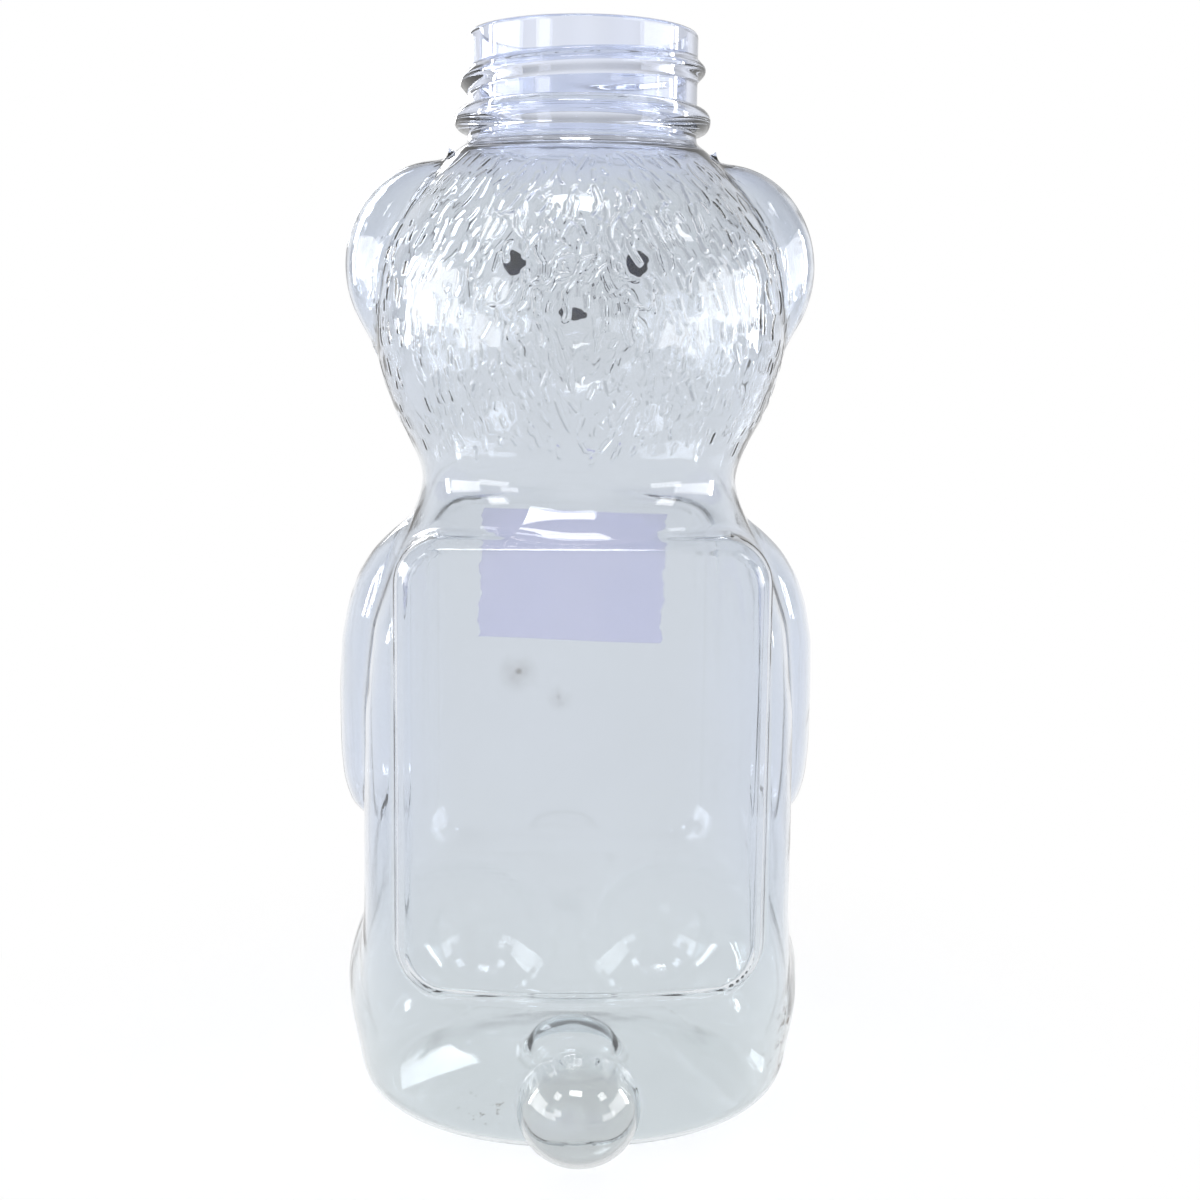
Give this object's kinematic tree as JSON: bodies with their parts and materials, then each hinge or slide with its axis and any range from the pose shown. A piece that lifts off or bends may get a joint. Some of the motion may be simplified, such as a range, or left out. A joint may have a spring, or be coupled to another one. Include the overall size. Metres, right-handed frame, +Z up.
{
  "type": "honey bear bottle",
  "caption": "Clear bear-shaped honey bottle, open at its screw-thread neck, with hand-inked eyes and nose and a blank tape label on its belly.",
  "frame": {"origin": "middle of the standing base, on the axis of the neck", "axes": "+Z up out of the mouth, -Y the way that the bear's face looks, +X the bear's left"},
  "size_m": [0.076, 0.072, 0.167],
  "materials": {
    "clear_plastic": "clear glossy PET with a faint blue-lavender tint",
    "ink": "dry dark blue-black marker ink",
    "tape": "matte pale lavender tape"
  },
  "bodies": {
    "root": {"bottle": "clear_plastic", "left_eye": "ink", "right_eye": "ink", "nose": "ink", "front_label": "tape"}
  },
  "joints": []
}
